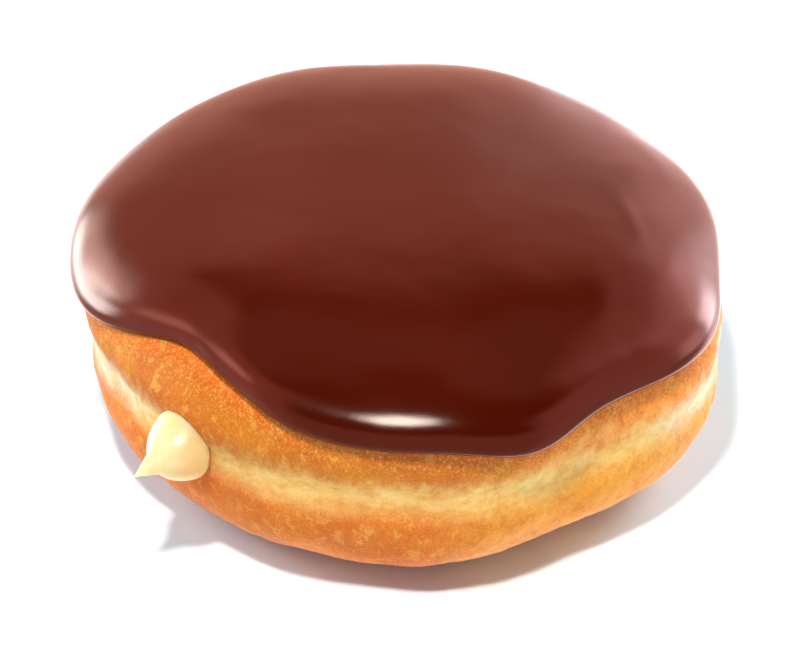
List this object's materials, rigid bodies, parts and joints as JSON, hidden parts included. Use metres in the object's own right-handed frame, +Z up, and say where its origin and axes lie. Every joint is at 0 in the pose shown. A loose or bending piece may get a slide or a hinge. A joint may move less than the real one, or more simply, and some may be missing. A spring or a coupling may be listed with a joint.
{
  "type": "iced cream-filled doughnut",
  "caption": "Round filled doughnut with no hole: golden fried dough with a pale side ring, glossy chocolate icing on top and vanilla cream piped in at the side.",
  "frame": {"origin": "middle of the bounding box, on the floor under the flat base", "axes": "+Z up, -Y towards the side the picture was taken from, the cream comes out towards -X and -Y"},
  "size_m": [0.0914, 0.0902, 0.0397],
  "materials": {
    "fried_dough": "soft browned crust",
    "chocolate_icing": "smooth glossy",
    "cream_filling": "smooth moist"
  },
  "bodies": {
    "root": {"fried_dough": "fried_dough", "chocolate_icing": "chocolate_icing", "cream_filling": "cream_filling"}
  },
  "joints": []
}
